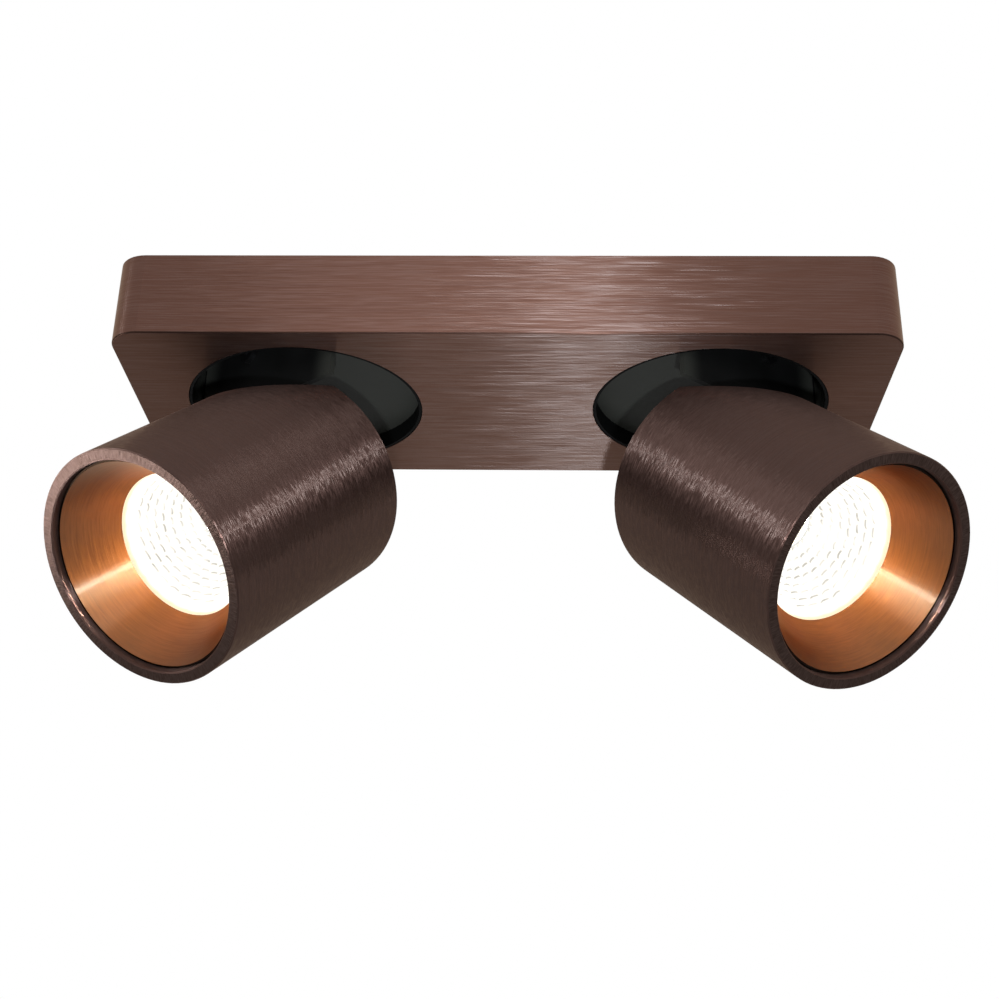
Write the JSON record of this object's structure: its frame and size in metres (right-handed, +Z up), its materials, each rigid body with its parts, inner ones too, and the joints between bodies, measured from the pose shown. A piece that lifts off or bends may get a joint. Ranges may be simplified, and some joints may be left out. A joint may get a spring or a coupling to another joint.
{
  "type": "twin spotlight",
  "caption": "Flat oblong ceiling spotlight base with paired cylindrical lamp heads that swivel in round cups and tilt on hinges, with copper anti-glare cones.",
  "frame": {"origin": "middle of the face that lies on the ceiling", "axes": "+X along the base, +Y away from the side shown in the picture, +Z up into the ceiling"},
  "size_m": [0.2878, 0.1299, 0.1414],
  "materials": {
    "bronze_anodised": "bronze anodised, brushed",
    "copper_anodised": "copper-coloured anodised, spun",
    "black_satin": "satin black powder coat",
    "black_aluminium": "black anodised",
    "black_plastic": "matt black",
    "black_rubber": "matt rubber",
    "black_steel": "black oxide",
    "bright_steel": "zinc plated",
    "zinc_steel": "galvanised sheet",
    "brass": "plain brass",
    "white_plastic": "matt white",
    "clear_white_plastic": "natural polyamide",
    "glide_plastic": "dark glide plastic",
    "white_board": "white solder mask",
    "led_phosphor": "phosphor",
    "mirror_aluminium": "faceted, vapour coated"
  },
  "bodies": {
    "base": {"housing": "bronze_anodised", "mounting_plate": "zinc_steel", "plate_side_screws": "black_steel", "cable_grommet": "black_rubber", "earth_screw": "brass", "led_driver": "white_plastic", "driver_screws": "bright_steel", "terminal_block": "clear_white_plastic", "terminal_clamp_screws": "bright_steel", "terminal_screws": "bright_steel", "left_friction_ring": "glide_plastic", "left_retaining_ring": "zinc_steel", "left_ring_screws": "bright_steel", "right_friction_ring": "glide_plastic", "right_retaining_ring": "zinc_steel", "right_ring_screws": "bright_steel"},
    "left_swivel": {"left_swivel_cup": "black_satin", "left_cup_bush": "black_rubber", "left_hinge_leaf": "black_satin", "left_leaf_screws": "black_steel"},
    "left_head": {"left_head_tube": "bronze_anodised", "left_heat_sink": "black_aluminium", "left_rear_cap": "black_satin", "left_rear_cap_screws": "black_steel", "left_head_bush": "black_rubber", "left_hinge_pin": "black_steel", "left_hinge_nut": "black_steel", "left_friction_washers": "glide_plastic", "left_led_board": "white_board", "left_led_chip": "led_phosphor", "left_led_holder": "white_plastic", "left_holder_screws": "bright_steel", "left_reflector_sleeve": "black_plastic", "left_reflector": "mirror_aluminium", "left_copper_cone": "copper_anodised", "left_cone_seat": "black_plastic"},
    "right_swivel": {"right_swivel_cup": "black_satin", "right_cup_bush": "black_rubber", "right_hinge_leaf": "black_satin", "right_leaf_screws": "black_steel"},
    "right_head": {"right_head_tube": "bronze_anodised", "right_heat_sink": "black_aluminium", "right_rear_cap": "black_satin", "right_rear_cap_screws": "black_steel", "right_head_bush": "black_rubber", "right_hinge_pin": "black_steel", "right_hinge_nut": "black_steel", "right_friction_washers": "glide_plastic", "right_led_board": "white_board", "right_led_chip": "led_phosphor", "right_led_holder": "white_plastic", "right_holder_screws": "bright_steel", "right_reflector_sleeve": "black_plastic", "right_reflector": "mirror_aluminium", "right_copper_cone": "copper_anodised", "right_cone_seat": "black_plastic"}
  },
  "joints": [
    {"name": "left_turn", "type": "hinge", "parent": "base", "child": "left_swivel", "pos_m": [-0.071, 0, -0.03], "axis": [0, 0, 1], "range_deg": [-137, 213]},
    {"name": "left_tilt", "type": "hinge", "parent": "left_swivel", "child": "left_head", "pos_m": [-0.0827, -0.01497, -0.0496], "axis": [-0.788, 0.6157, 0], "range_deg": [-49, 36]},
    {"name": "right_turn", "type": "hinge", "parent": "base", "child": "right_swivel", "pos_m": [0.071, 0, -0.03], "axis": [0, 0, 1], "range_deg": [-214.5, 135.5]},
    {"name": "right_tilt", "type": "hinge", "parent": "right_swivel", "child": "right_head", "pos_m": [0.08309, -0.01466, -0.0496], "axis": [-0.7716, -0.6361, 0], "range_deg": [-49.5, 35.5]}
  ]
}
